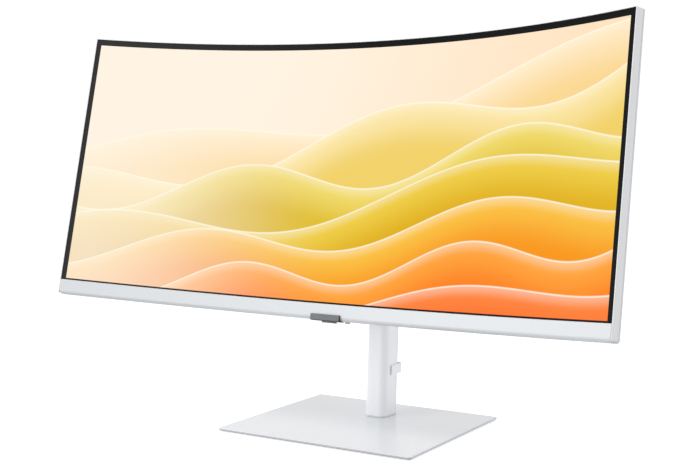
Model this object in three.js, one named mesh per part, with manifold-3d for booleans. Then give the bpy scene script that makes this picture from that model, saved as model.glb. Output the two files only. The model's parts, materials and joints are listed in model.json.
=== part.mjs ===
// Curved ultrawide computer monitor on a height-adjustable stand.
// Millimetres, +Z up, +X to the right of a person facing the screen, +Y away from that person.
// The stand is built upright and the head is built in its own tilted frame (u, v, d):
// u runs along the screen's arc, v up the screen, d from the screen's glass towards the back.
import * as THREE from 'three';
import Module from 'manifold-3d';
import { mergeVertices } from 'three/addons/utils/BufferGeometryUtils.js';

const wasm = await Module();
wasm.setup();

// ---------- driving dimensions ----------
const GAP = 0.3;

// Screen
const ARC_RADIUS = 1087;
const PICTURE_WIDTH = 797.2;
const PICTURE_HEIGHT = 333.7;
const BORDER_SIDE = 6.8;
const BORDER_TOP = 8.2;
const BORDER_BOTTOM = 2;
const RIM = 1;
const HEAD_TILT = THREE.MathUtils.degToRad(12.4);
const HEAD_Y = -126.1;
const HEAD_Z = 171.8;

// Depths in the head, from the glass backwards
const RIM_FRONT = -0.9;
const CELL_BACK = 1.6;
const FILM_BACK = 2.9;
const GUIDE_BACK = 5.2;
const CHASSIS_BACK = 6.5;
const FRAME_BACK = 10.2;
const EDGE_BACK = 12.7;
const BULGE = 29.2;
const SHELL = 2.2;

// Outline of the head
const HALF_GLASS = PICTURE_WIDTH / 2 + BORDER_SIDE;
const HALF_HEAD = HALF_GLASS + RIM + GAP;
const GLASS_TOP = PICTURE_HEIGHT + BORDER_TOP;
const HEAD_TOP = GLASS_TOP + RIM;
const HEAD_BOTTOM = -22.5;
const CHIN_TOP = -BORDER_BOTTOM - GAP;
const CHIN_FRONT = -1.2;
const CHIN_ROUND = 4;
const ARC_STEPS = 30;

// Layers of the panel behind its cell: half width, lowest and highest edge, front and back depth
const LAYERS = {
  optical_films: { half: 401, low: 1, high: 337, front: CELL_BACK + GAP, back: FILM_BACK },
  light_guide: { half: 400, low: 4, high: 337, front: FILM_BACK + GAP, back: GUIDE_BACK },
  led_bar: { half: 398, low: 1, high: 3.7, front: FILM_BACK + GAP, back: GUIDE_BACK },
  panel_chassis: { half: 402, low: -1.5, high: 339, front: GUIDE_BACK + GAP, back: CHASSIS_BACK },
};
// The dome of the rear cover: where it ends and how far it takes to rise
const DOME = { side: 300, sideRun: 170, low: -20, lowRun: 30, high: 325, highRun: 92 };
const FRAME_WINDOW = { half: 397, low: -8, high: 333 };
const COVER_ROOM = { half: 403, low: -19, high: 339 };

// Badge on the lower edge, and the housing behind it
const BADGE = { u: -4.1, half: 21.5, low: -23, high: -15.6, front: -4, back: -3.3 };
const LENS = { left: -4.4, right: 15.4, front: -2.6, back: 3, low: -26, high: -24.2 };

// Controls on the back: the stick under the lower edge and the button that frees the stand
const JOG = { u: 7.6, d: 34, v: -23.5, r: 3.7 };
const JOG_RING = { low: -14.2, high: -12.4, outer: 6.2, inner: 3.6 };
const JOG_STEM = { low: -15, high: -12, r: 2.4 };
const JOG_CAP_TOP = -16.6;
const JOG_HOUSING = { half: 11, front: 22, back: 41.6, low: -19.6, high: 8 };
const JOG_WELL_R = 6.8;
const JOG_WELL_TOP = -11;
const RELEASE = { v: 104, halfX: 10, halfV: 4.5, front: 36, back: 42.6 };
const RELEASE_FLANGE = { overX: 2.5, overV: 1.6, front: 33.5, back: 36.5 };

// Tilt hinge, in the head's frame
const PIVOT_V = 167;
const PIVOT_D = 62;
const PIN_R = 4;
const PIN_HEAD_R = 7;
const NUT_T = 4.5;
const BARREL_R = 9;
const BARREL_HALF = 15;
const WASHER_T = 1.7;
const EAR_T = 3;
const EAR_R = 10;
const MOUNT_FLOOR = 38;
const MOUNT_RECESS = { half: 53, low: 114, high: 220 };
const MOUNT_PLATE = { half: 50, thick: 3 };
const MOUNT_BOSS = { halfX: 26, halfV: 18, back: 46.9 };
const BRACKET_FOOT = { halfX: 24, halfV: 18, thick: 2.5 };
const SCREW = { bore: 2.1, shank: 1.8, head: 3.4, headT: 2, tip: 43, slotHalf: 2, slotWide: 0.5 };
const SCREW_SPOTS = [[-10, -13.5], [10, -13.5], [-10, 13.5], [10, 13.5]];

// Mounting pattern inside the head, 100 mm square
const PATTERN_HALF = 50;
const PATTERN = [[-1, -1], [1, -1], [-1, 1], [1, 1]]
  .map(([x, v]) => [x * PATTERN_HALF, v * PATTERN_HALF + PIVOT_V]);
const CHANNEL_BRACKET = { half: 60, lip: 1.5, front: 9, face: 26, back: 28, low: 108, high: 226 };
const PATTERN_BOSS_R = 5;
const PATTERN_BORE_R = 2;

// Rear sockets
const PORT_FLOOR = 32;
const PORT_V = 77;
const PORT_RECESS = { halfX: 128, halfV: 15 };
const BOARD_FRONT = 12;
const BOARD_T = 1.6;
const SOCKETS = {
  power_inlet: { u: 100, w: 30, h: 22, hole: [24, 16.4], pins: [[-7, -2], [0, 2], [7, -2]] },
  hdmi_port: { u: 50, w: 16.6, h: 7.4, hole: [14, 4.6], tongue: [11, 1] },
  displayport_port: { u: 26, w: 18, h: 7.4, hole: [16.1, 4.9], tongue: [12.4, 1] },
  usb_c_port: { u: 4, w: 11, h: 5.2, hole: [8.4, 2.7], tongue: [6.4, 0.7] },
  usb_a_port_1: { u: -18, w: 15.2, h: 7.6, hole: [12.6, 5.2], tongue: [11, 1.8] },
  usb_a_port_2: { u: -40, w: 15.2, h: 7.6, hole: [12.6, 5.2], tongue: [11, 1.8] },
  lan_port: { u: -64, w: 16.4, h: 12.6, hole: [11.8, 8] },
  audio_jack: { u: -87, w: 8.4, h: 8.4, round: 1.8 },
};
const SOCKET_DEPTH = 11;
const BOARDS = { left: -122, split: 70, right: 150, low: 28, high: 100 };

// Stand
const LEAN = Math.tan(THREE.MathUtils.degToRad(3.75));
const COLUMN_W = 31.7;
const COLUMN_D = 40.4;
const COLUMN_R = 9.5;
const COLUMN_WALL = 2.5;
const COLUMN_SEAM = 11;
const COLUMN_TOP = 455;
const CAP_T = 3.2;
const FOOT_T = 1;
const CABLE_CHANNEL = { half: 8, deep: 6, wall: 2, low: 24, high: 300 };
const BASE_W = 285.4;
const BASE_D = 243.8;
const BASE_Y = -53.7;
const BASE_TOP = 5;
const BASE_BOTTOM = 1.3;
const BASE_CORNER = 4.5;
const BASE_EDGE = 1.2;
const PAD_R = 8;
const PAD_INSET = 20;
const HUB_R = 11;
const HUB_TOP = BASE_TOP + 3.3;
const SPINDLE_R = 6;
const SPINDLE_TOP = 22;
const POCKET_TOP = 7.2;
const THREAD = { r: 3.2, low: 5, high: 17 };
const SWIVEL = { plateT: 2.5, washerT: 1.2, nutT: 5, nutR: 10, plateCorner: 6 };
const LIFT_DOWN = 50;
const LIFT_UP = 70;
const CARRIAGE = { halfX: 9.9, front: -13, back: 8, low: 290, high: 355 };
const RAIL = { wide: 2.3, halfY: 5, low: 230, high: 452 };
const SLOT_HALF = 7;
const SLOT_SPARE = 3;
const WEB = { half: 5.5, low: 308, high: 335 };
const NECK_HALF = BARREL_HALF - 2;
const SLEEVE = { w: 66, h: 58, r: 12, wall: 2.5, backWall: 3, ahead: 3.5, clear: 4.5 };
const COIL = { z: 441, r: 10, bore: 5, half: 7, axleHalf: 9.4 };
const STRIP = { half: 6, thick: 0.5, low: 300 };
const CLIP = { z: 66.7, half: 6.6, wall: 1.7, front: -5.5, back: 23.6, r: 4 };
const THUMB = { r: 6.5, low: 4.6, high: 6.8, shank: 2.9, tip: 16 };
const RING = { r: 8, inner: 6.4, low: 2.5, high: 3.7, heel: 0.6 };

const DISC_STEPS = 24;
const PAST = 20;

// ---------- materials ----------
const finish = (color, roughness, metalness = 0) =>
  new THREE.MeshStandardMaterial({ color, roughness, metalness });
const WHITE = () => finish(0xe9ebee, 0.45);
const STEEL = () => finish(0xb4b7ba, 0.35, 0.9);
const BRONZE = () => finish(0x8c7a4a, 0.4, 0.8);
const BLACK = () => finish(0x17181a, 0.5);

// ---------- geometry helpers ----------
const place = (geometry, x, y, z) => geometry.translate(x, y, z);

function toSolid(geometry) {
  const bare = geometry.clone();
  bare.deleteAttribute('normal');
  bare.deleteAttribute('uv');
  const merged = mergeVertices(bare, 1e-4);
  return new wasm.Manifold(new wasm.Mesh({
    numProp: 3,
    vertProperties: new Float32Array(merged.attributes.position.array),
    triVerts: new Uint32Array(merged.index.array),
  }));
}

function toGeometry(solid) {
  const mesh = solid.getMesh();
  const geometry = new THREE.BufferGeometry();
  geometry.setAttribute('position', new THREE.BufferAttribute(mesh.vertProperties, 3));
  geometry.setIndex(new THREE.BufferAttribute(mesh.triVerts, 1));
  geometry.computeVertexNormals();
  return geometry;
}

function carve(base, cuts = [], adds = []) {
  let solid = toSolid(base);
  for (const extra of adds) solid = solid.add(toSolid(extra));
  for (const cut of cuts) solid = solid.subtract(toSolid(cut));
  return toGeometry(solid);
}

// A box from its lowest corner to its highest corner.
function box(x0, x1, y0, y1, z0, z1) {
  const geometry = new THREE.BoxGeometry(x1 - x0, y1 - y0, z1 - z0);
  return place(geometry, (x0 + x1) / 2, (y0 + y1) / 2, (z0 + z1) / 2);
}

// A cylinder between two stations on a named axis.
function rod(axis, r, from, to, centre, steps = DISC_STEPS) {
  const geometry = new THREE.CylinderGeometry(r, r, to - from, steps);
  if (axis === 'x') geometry.rotateZ(Math.PI / 2);
  if (axis === 'z') geometry.rotateX(Math.PI / 2);
  const middle = new THREE.Vector3(...centre);
  middle[axis] = (from + to) / 2;
  return place(geometry, middle.x, middle.y, middle.z);
}

function tube(axis, outer, inner, from, to, centre, steps = DISC_STEPS) {
  return carve(
    rod(axis, outer, from, to, centre, steps),
    [rod(axis, inner, from - 1, to + 1, centre)],
  );
}

function roundedRect(width, depth, r, path = new THREE.Shape()) {
  const w = width / 2;
  const d = depth / 2;
  path.moveTo(-w + r, -d);
  path.lineTo(w - r, -d);
  path.absarc(w - r, -d + r, r, -Math.PI / 2, 0);
  path.lineTo(w, d - r);
  path.absarc(w - r, d - r, r, 0, Math.PI / 2);
  path.lineTo(-w + r, d);
  path.absarc(-w + r, d - r, r, Math.PI / 2, Math.PI);
  path.lineTo(-w, -d + r);
  path.absarc(-w + r, -d + r, r, Math.PI, Math.PI * 1.5);
  return path;
}

function slabOf(shape, low, high, curveSegments = 5) {
  const geometry = new THREE.ExtrudeGeometry(shape, {
    depth: high - low,
    bevelEnabled: false,
    curveSegments,
  });
  return place(geometry, 0, 0, low);
}

// Leans an upright piece of the stand backwards, keeping its horizontal sections.
function lean(geometry) {
  const shear = new THREE.Matrix4().set(1, 0, 0, 0, 0, 1, LEAN, 0, 0, 0, 1, 0, 0, 0, 0, 1);
  return geometry.applyMatrix4(shear);
}

// The head's curved frame: a point at arc length u, height v and depth d.
function onArc(u, v, d) {
  const angle = u / ARC_RADIUS;
  const reach = ARC_RADIUS + d;
  return [reach * Math.sin(angle), reach * Math.cos(angle) - ARC_RADIUS, v];
}

// Sweeps a closed outline of [d, v] points along the arc between two arc lengths.
function sweptProfile(outline, u0, u1, steps = ARC_STEPS) {
  const flat = outline.map(([d, v]) => new THREE.Vector2(d, v));
  if (THREE.ShapeUtils.isClockWise(flat)) flat.reverse();
  const positions = [];
  for (let i = 0; i <= steps; i += 1) {
    const u = u0 + ((u1 - u0) * i) / steps;
    for (const point of flat) positions.push(...onArc(u, point.y, point.x));
  }
  const n = flat.length;
  const index = [];
  for (let i = 0; i < steps; i += 1) {
    for (let k = 0; k < n; k += 1) {
      const a = i * n + k;
      const b = i * n + ((k + 1) % n);
      index.push(a, b, b + n, a, b + n, a + n);
    }
  }
  const last = steps * n;
  for (const [a, b, c] of THREE.ShapeUtils.triangulateShape(flat, [])) {
    index.push(c, b, a, last + a, last + b, last + c);
  }
  return closedGeometry(positions, index);
}

function closedGeometry(positions, index) {
  const geometry = new THREE.BufferGeometry();
  geometry.setAttribute('position', new THREE.Float32BufferAttribute(positions, 3));
  geometry.setIndex(index);
  geometry.computeVertexNormals();
  return geometry;
}

const curvedSlab = (halfU, v0, v1, d0, d1, steps = ARC_STEPS) =>
  sweptProfile([[d0, v0], [d1, v0], [d1, v1], [d0, v1]], -halfU, halfU, steps);

// A curved slab whose back surface follows a depth function of u and v.
function domedSlab(halfU, v0, v1, front, back, nu, nv) {
  const positions = [];
  const index = [];
  const row = nu + 1;
  const sheet = row * (nv + 1);
  for (const side of [0, 1]) {
    for (let j = 0; j <= nv; j += 1) {
      for (let i = 0; i <= nu; i += 1) {
        const u = -halfU + (2 * halfU * i) / nu;
        const v = v0 + ((v1 - v0) * j) / nv;
        positions.push(...onArc(u, v, side ? back(u, v) : front));
      }
    }
  }
  const quad = (a, b, c, d) => index.push(a, b, c, a, c, d);
  for (let j = 0; j < nv; j += 1) {
    for (let i = 0; i < nu; i += 1) {
      const a = j * row + i;
      quad(a, a + 1, a + row + 1, a + row);
      quad(sheet + a, sheet + a + row, sheet + a + row + 1, sheet + a + 1);
    }
  }
  for (let i = 0; i < nu; i += 1) {
    const top = nv * row + i;
    quad(i, sheet + i, sheet + i + 1, i + 1);
    quad(top, top + 1, sheet + top + 1, sheet + top);
  }
  for (let j = 0; j < nv; j += 1) {
    const left = j * row;
    const right = left + nu;
    quad(left, left + row, sheet + left + row, sheet + left);
    quad(right, sheet + right, sheet + right + row, right + row);
  }
  return closedGeometry(positions, index);
}

// ---------- groups ----------
const monitor = new THREE.Group();
const stand = new THREE.Group();
const head = new THREE.Group();
head.position.set(0, HEAD_Y, HEAD_Z);
head.rotation.x = -HEAD_TILT;
monitor.add(stand, head);

function piece(group, name, geometry, material) {
  const mesh = new THREE.Mesh(geometry, material);
  mesh.name = name;
  group.add(mesh);
}

// ---------- screen stack ----------
function screenStack() {
  const looks = {
    optical_films: finish(0xf4f4f0, 0.6),
    light_guide: finish(0xdfe8ea, 0.1),
    led_bar: finish(0xe8e4d0, 0.5),
    panel_chassis: STEEL(),
  };
  const cell = curvedSlab(HALF_GLASS, -BORDER_BOTTOM, GLASS_TOP, 0, CELL_BACK);
  piece(head, 'lcd_cell', cell, finish(0x101114, 0.3));
  for (const [name, layer] of Object.entries(LAYERS)) {
    const sheet = curvedSlab(layer.half, layer.low, layer.high, layer.front, layer.back);
    piece(head, name, sheet, looks[name]);
  }
}

// ---------- casing ----------
function middleFrame() {
  const shell = curvedSlab(HALF_HEAD, HEAD_BOTTOM, HEAD_TOP, RIM_FRONT, FRAME_BACK);
  const seat = curvedSlab(HALF_GLASS + GAP, HEAD_BOTTOM - PAST, GLASS_TOP + GAP, -PAST, CHASSIS_BACK + GAP);
  const window = curvedSlab(FRAME_WINDOW.half, FRAME_WINDOW.low, FRAME_WINDOW.high, 0, PAST);
  piece(head, 'middle_frame', carve(shell, [seat, window]), WHITE());
}

function lowerBezel() {
  const outline = [[CHASSIS_BACK, HEAD_BOTTOM], [CHASSIS_BACK, CHIN_TOP], [CHIN_FRONT, CHIN_TOP]];
  const steps = 5;
  for (let i = 0; i <= steps; i += 1) {
    const turn = (Math.PI / 2) * (i / steps);
    outline.push([
      CHIN_FRONT + CHIN_ROUND * (1 - Math.cos(turn)),
      HEAD_BOTTOM + CHIN_ROUND * (1 - Math.sin(turn)),
    ]);
  }
  piece(head, 'lower_bezel', sweptProfile(outline, -HALF_GLASS, HALF_GLASS), WHITE());
}

const rise = (value) => THREE.MathUtils.smoothstep(value, 0, 1);

// How far back the cover stands: thin at the rim, with a broad dome over the boards and the mount.
function backDepth(u, v) {
  const across = rise((DOME.side - Math.abs(u)) / DOME.sideRun);
  const fromBottom = rise((v - DOME.low) / DOME.lowRun);
  const fromTop = rise((DOME.high - v) / DOME.highRun);
  return EDGE_BACK + BULGE * across * fromBottom * fromTop;
}

// A box in the head's frame around a socket or button, larger by a margin each way.
const around = (u, v, halfX, halfV, margin, d0, d1) =>
  box(u - halfX - margin, u + halfX + margin, d0, d1, v - halfV - margin, v + halfV + margin);

function rearCover() {
  const [columns, rows] = [36, 18];
  const front = FRAME_BACK + GAP;
  const outer = domedSlab(HALF_HEAD, HEAD_BOTTOM, HEAD_TOP, front, backDepth, columns, rows);
  const lining = (u, v) => backDepth(u, v) - SHELL + GAP;
  const { half, low, high } = COVER_ROOM;
  const hollow = domedSlab(half, low, high, front - SHELL, lining, columns, rows);
  const mountV = (MOUNT_RECESS.low + MOUNT_RECESS.high) / 2;
  const mountHalf = (MOUNT_RECESS.high - MOUNT_RECESS.low) / 2;
  const rooms = [
    [0, mountV, MOUNT_RECESS.half, mountHalf, MOUNT_FLOOR],
    [0, PORT_V, PORT_RECESS.halfX, PORT_RECESS.halfV, PORT_FLOOR],
  ];
  const far = PORT_FLOOR + 2 * PAST;
  const recesses = rooms.map(([u, v, hx, hv, floor]) => around(u, v, hx, hv, 0, floor, far));
  const kept = rooms.map(([u, v, hx, hv, floor]) => around(u, v, hx, hv, SHELL, floor - SHELL, far));
  const pod = JOG_HOUSING;
  const housing = box(JOG.u - pod.half, JOG.u + pod.half, pod.front, pod.back, pod.low, pod.high);
  const podWall = SHELL + GAP;
  const keptPod = box(
    JOG.u - pod.half - podWall, JOG.u + pod.half + podWall, pod.front - podWall, far,
    pod.low - 2 * PAST, pod.high + podWall,
  );
  const windows = Object.values(SOCKETS).map((s) => around(s.u, PORT_V, s.w / 2, s.h / 2, GAP, PAST, far));
  const holes = PATTERN.map(([x, v]) => rod('y', SCREW.bore + GAP, PAST, far, [x, 0, v], 12));
  const button = around(0, RELEASE.v, RELEASE.halfX, RELEASE.halfV, GAP, PAST, far);
  const well = rod('z', JOG_WELL_R, -2 * PAST, JOG_WELL_TOP, [JOG.u, JOG.d, 0]);
  const inside = carve(hollow, [...kept, keptPod]);
  const cuts = [...recesses, inside, ...windows, ...holes, button, well];
  piece(head, 'rear_cover', carve(outer, cuts, [housing]), WHITE());
}

// An outline of (y, z) points, extruded along X between two stations.
function uprightFromProfile(points, x0, x1) {
  const shape = new THREE.Shape(points.map(([y, z]) => new THREE.Vector2(y, z)));
  const solid = new THREE.ExtrudeGeometry(shape, { depth: x1 - x0, bevelEnabled: false });
  const turn = new THREE.Matrix4().set(0, 0, 1, x0, 1, 0, 0, 0, 0, 1, 0, 0, 0, 0, 0, 1);
  return solid.applyMatrix4(turn);
}

// The badge is a thin plate on a black housing that wraps under the lower edge.
function badgeTab() {
  const left = BADGE.u - BADGE.half;
  const right = BADGE.u + BADGE.half;
  const plate = box(left, right, BADGE.front, BADGE.back, BADGE.low, BADGE.high);
  piece(head, 'badge_plate', plate, finish(0x9a9c9e, 0.4, 0.6));
  const front = BADGE.back + GAP;
  const under = HEAD_BOTTOM - GAP - 0.05;
  const foot = BADGE.low - 0.9;
  const profile = [
    [front, BADGE.high], [front + 1, BADGE.high], [front + 1, HEAD_BOTTOM + 2.9], [0.4, under],
    [9.5, under], [9.5, under - 0.6], [5, foot], [front, foot],
  ];
  piece(head, 'badge_housing', uprightFromProfile(profile, left, right), BLACK());
  const lens = box(
    BADGE.u + LENS.left, BADGE.u + LENS.right, LENS.front, LENS.back, LENS.low, LENS.high,
  );
  piece(head, 'status_lens', lens, finish(0x0a0a0b, 0.15));
}

// ---------- electronics ----------
function socket(spec) {
  const back = PORT_FLOOR - GAP;
  const bottom = back - SOCKET_DEPTH;
  const tipBack = back - 1.5;
  const body = around(spec.u, PORT_V, spec.w / 2, spec.h / 2, 0, BOARD_FRONT + BOARD_T + GAP, back);
  if (spec.round) {
    return carve(body, [rod('y', spec.round, bottom, back + PAST, [spec.u, 0, PORT_V], 16)]);
  }
  const [w, h] = spec.hole;
  const hollowed = carve(body, [around(spec.u, PORT_V, w / 2, h / 2, 0, bottom, back + PAST)]);
  const adds = [];
  if (spec.tongue) {
    const [tongueW, tongueH] = spec.tongue;
    adds.push(around(spec.u, PORT_V, tongueW / 2, tongueH / 2, 0, bottom - 1, tipBack));
  }
  for (const [pinU, pinV] of spec.pins ?? []) {
    adds.push(around(spec.u + pinU, PORT_V + pinV, 1, 2, 0, bottom - 1, tipBack));
  }
  return adds.length ? carve(hollowed, [], adds) : hollowed;
}

function electronics() {
  const back = BOARD_FRONT + BOARD_T;
  const { low, high } = BOARDS;
  const main = box(BOARDS.left, BOARDS.split - 2, BOARD_FRONT, back, low, high);
  piece(head, 'main_board', main, finish(0x1d5a3a, 0.6));
  const power = box(BOARDS.split + 2, BOARDS.right, BOARD_FRONT, back, low, high);
  piece(head, 'power_board', power, finish(0x8a6a32, 0.6));
  for (const [name, spec] of Object.entries(SOCKETS)) {
    piece(head, name, socket(spec), name.includes('usb_a') ? STEEL() : BLACK());
  }
}

// ---------- stand mount ----------
function patternBracket() {
  const { half, lip, front, face, back, low, high } = CHANNEL_BRACKET;
  const outer = box(-half, half, front, back, low, high);
  const inner = box(-half + lip, half - lip, front - PAST, face, low - PAST, high + PAST);
  const bossBack = MOUNT_FLOOR - SHELL - GAP;
  const bosses = PATTERN.map(([x, v]) => rod('y', PATTERN_BOSS_R, back - 1, bossBack, [x, 0, v], 16));
  const bores = PATTERN.map(([x, v]) => rod('y', PATTERN_BORE_R, 0, 2 * PAST, [x, 0, v], 12));
  const channel = carve(outer, [inner]);
  piece(head, 'vesa_bracket', carve(channel, bores, bosses), STEEL());
}

function quickMount() {
  const low = MOUNT_FLOOR + GAP;
  const high = low + MOUNT_PLATE.thick;
  const plate = around(0, PIVOT_V, MOUNT_PLATE.half, MOUNT_PLATE.half, 0, low, high);
  const { halfX, halfV, back } = MOUNT_BOSS;
  const boss = around(0, PIVOT_V, halfX, halfV, 0, high - 1, back);
  const screwBore = ([x, v], d) => rod('y', SCREW.bore, d, PIVOT_D, [x, 0, PIVOT_V + v], 12);
  const boresFrom = (d) => SCREW_SPOTS.map((spot) => screwBore(spot, d));
  piece(head, 'mount_plate', carve(plate, boresFrom(SCREW.tip - 0.5), [boss]), STEEL());

  const base = back + GAP;
  const footBack = base + BRACKET_FOOT.thick;
  const foot = around(0, PIVOT_V, BRACKET_FOOT.halfX, BRACKET_FOOT.halfV, 0, base, footBack);
  const centre = [0, PIVOT_D, PIVOT_V];
  const earLow = BARREL_HALF + WASHER_T + 2 * GAP;
  const earHigh = earLow + EAR_T;
  const ears = [];
  for (const from of [earLow, -earHigh]) {
    ears.push(box(from, from + EAR_T, base + 1, PIVOT_D, PIVOT_V - EAR_R, PIVOT_V + EAR_R));
    ears.push(rod('x', EAR_R, from, from + EAR_T, centre));
  }
  const bore = rod('x', PIN_R + GAP, -2 * PAST, 2 * PAST, centre);
  const bracket = carve(foot, [...boresFrom(MOUNT_FLOOR), bore], ears);
  piece(head, 'tilt_bracket', bracket, STEEL());

  SCREW_SPOTS.forEach(([x, v], i) => {
    const seat = footBack + GAP;
    const at = [x, 0, PIVOT_V + v];
    const shank = rod('y', SCREW.shank, SCREW.tip, seat + 1, at, 12);
    const crown = rod('y', SCREW.head, seat, seat + SCREW.headT, at, 12);
    const slot = around(x, PIVOT_V + v, SCREW.slotHalf, SCREW.slotWide, 0, seat + 1.2, PIVOT_D);
    piece(head, `bracket_screw_${i + 1}`, carve(crown, [slot], [shank]), STEEL());
  });

  const shaft = rod('x', PIN_R, -earHigh - GAP - NUT_T - 1.2, earHigh + 2, centre);
  const crown = rod('x', PIN_HEAD_R, earHigh + GAP, earHigh + 3, centre);
  piece(head, 'tilt_pin', carve(shaft, [], [crown]), STEEL());
  const nut = tube('x', PIN_HEAD_R, PIN_R + GAP, -earHigh - GAP - NUT_T, -earHigh - GAP, centre, 6);
  piece(head, 'tilt_nut', nut, STEEL());
  const inner = BARREL_HALF + GAP;
  for (const [name, from] of [['left', -inner - WASHER_T], ['right', inner]]) {
    const ring = tube('x', BARREL_R - 1, PIN_R + GAP, from, from + WASHER_T, centre);
    piece(head, `friction_washer_${name}`, ring, BRONZE());
  }
}

function releaseButton() {
  const { v, halfX, halfV, front, back } = RELEASE;
  const { overX, overV } = RELEASE_FLANGE;
  const cap = around(0, v, halfX, halfV, 0, front, back);
  const flange = around(0, v, halfX + overX, halfV + overV, 0, RELEASE_FLANGE.front, RELEASE_FLANGE.back);
  piece(head, 'release_button', carve(cap, [], [flange]), finish(0xd4d7da, 0.5));
}

function jogStick() {
  const at = [JOG.u, JOG.d, 0];
  const ring = tube('z', JOG_RING.outer, JOG_RING.inner, JOG_RING.low, JOG_RING.high, at, 20);
  piece(head, 'jog_ring', ring, BLACK());
  piece(head, 'jog_stem', rod('z', JOG_STEM.r, JOG_STEM.low, JOG_STEM.high, at, 16), BLACK());
  piece(head, 'jog_cap', rod('z', JOG.r, JOG.v, JOG_CAP_TOP, at, 20), finish(0xa8abae, 0.5));
}

// ---------- arm and lift ----------
const pivotWorld = new THREE.Vector3(0, PIVOT_D, PIVOT_V)
  .applyAxisAngle(new THREE.Vector3(1, 0, 0), -HEAD_TILT)
  .add(new THREE.Vector3(0, HEAD_Y, HEAD_Z));

function arm() {
  const { y, z } = pivotWorld;
  const start = y - z * LEAN;
  const front = -COLUMN_D / 2 - 1.2;
  const web = lean(box(-WEB.half, WEB.half, front - 6, CARRIAGE.front - GAP, WEB.low, WEB.high));
  const neck = lean(box(-NECK_HALF, NECK_HALF, start, front, WEB.low + 3, WEB.high - 2));
  const barrel = rod('x', BARREL_R, -BARREL_HALF, BARREL_HALF, [0, y, z]);
  const bore = rod('x', PIN_R + GAP, -2 * PAST, 2 * PAST, [0, y, z]);
  piece(stand, 'neck_arm', carve(neck, [bore], [web, barrel]), STEEL());
}

// A sleeve around the hinge, open towards the head, with a way for the arm in its back wall.
function neckCover() {
  const { w, h, r, wall, backWall, ahead, clear } = SLEEVE;
  const { y, z } = pivotWorld;
  const front = y - ahead;
  const back = z * LEAN - COLUMN_D / 2 - clear;
  const alongY = (geometry) => place(geometry.rotateX(-Math.PI / 2), 0, 0, z);
  const outer = alongY(slabOf(roundedRect(w, h, r), front, back));
  const hollow = roundedRect(w - 2 * wall, h - 2 * wall, r - wall);
  const inner = alongY(slabOf(hollow, front - PAST, back - backWall));
  const way = box(
    -NECK_HALF - GAP, NECK_HALF + GAP, back - PAST / 2, back + PAST / 2,
    WEB.low - 3 * GAP, WEB.high + 3 * GAP,
  );
  piece(stand, 'neck_cover', carve(outer, [inner, way]), WHITE());
}

function liftUnit() {
  const { halfX, front, back, low, high } = CARRIAGE;
  const block = lean(box(-halfX, halfX, front, back, low, high));
  piece(stand, 'lift_carriage', block, finish(0x3a3d40, 0.5, 0.6));
  const inner = halfX + GAP;
  for (const [name, x0] of [['left', -inner - RAIL.wide], ['right', inner]]) {
    const rail = lean(box(x0, x0 + RAIL.wide, -RAIL.halfY, RAIL.halfY, RAIL.low, RAIL.high));
    piece(stand, `guide_rail_${name}`, rail, STEEL());
  }
  const at = [0, COIL.z * LEAN, COIL.z];
  piece(stand, 'lift_spring_coil', tube('x', COIL.r, COIL.bore, -COIL.half, COIL.half, at), STEEL());
  piece(stand, 'coil_axle', rod('x', COIL.bore - GAP, -COIL.axleHalf, COIL.axleHalf, at), STEEL());
  const stripFront = COIL.r + GAP;
  const strip = box(-STRIP.half, STRIP.half, stripFront, stripFront + STRIP.thick, STRIP.low, COIL.z);
  piece(stand, 'lift_spring_strip', lean(strip), STEEL());
}

// ---------- column ----------
// The column is a front shell, slotted to its top for the arm, and a back cover with a cable channel.
function column() {
  const low = BASE_TOP + 2 * GAP + FOOT_T;
  const wall = 2 * COLUMN_WALL;
  const face = COLUMN_D / 2;
  const section = () => roundedRect(COLUMN_W, COLUMN_D, COLUMN_R);
  const walls = () => {
    const skin = section();
    skin.holes.push(roundedRect(COLUMN_W - wall, COLUMN_D - wall, COLUMN_R - COLUMN_WALL, new THREE.Path()));
    return slabOf(skin, low, COLUMN_TOP);
  };
  const slice = (y0, y1) => box(-COLUMN_W, COLUMN_W, y0, y1, 0, COLUMN_TOP + PAST);

  const slotLow = WEB.low - LIFT_DOWN - SLOT_SPARE;
  const slot = box(-SLOT_HALF, SLOT_HALF, -face - PAST, -face + COLUMN_WALL + 2, slotLow, COLUMN_TOP + PAST);
  const front = carve(lean(walls()), [lean(slot), lean(slice(COLUMN_SEAM, face + PAST))]);
  piece(stand, 'column_shell', front, WHITE());

  const { half, deep, wall: liningT, low: channelLow, high: channelHigh } = CABLE_CHANNEL;
  const lining = box(
    -half - liningT, half + liningT, face - deep - liningT, face - 1,
    channelLow - liningT, channelHigh + liningT,
  );
  const channel = box(-half, half, face - deep, face + PAST, channelLow, channelHigh);
  const ahead = slice(-face - PAST, COLUMN_SEAM + GAP);
  piece(stand, 'column_back', carve(lean(walls()), [lean(channel), lean(ahead)], [lean(lining)]), WHITE());

  const lid = slabOf(section(), COLUMN_TOP + GAP, COLUMN_TOP + GAP + CAP_T);
  piece(stand, 'column_cap', lean(lid), WHITE());
  const ring = slabOf(section(), BASE_TOP + GAP, BASE_TOP + GAP + FOOT_T);
  piece(stand, 'column_foot', carve(ring, [rod('z', HUB_R + GAP, 0, PAST, [0, 0, 0])]), WHITE());
}

// A clip that hugs the column's sides and bridges the cable channel in its back.
function cableClip() {
  const { z, half, wall, front, back, r } = CLIP;
  const inner = COLUMN_W + 2 * GAP;
  const outer = inner + 2 * wall;
  const [low, high] = [z - half, z + half];
  const band = slabOf(roundedRect(outer, 2 * back, r), low, high);
  const room = slabOf(roundedRect(inner, 2 * (back - wall), r - wall), low - 1, high + 1);
  const ahead = box(-outer, outer, -2 * back, front, low - 1, high + 1);
  piece(stand, 'cable_clip', carve(lean(band), [lean(room), lean(ahead)]), WHITE());
}

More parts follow.
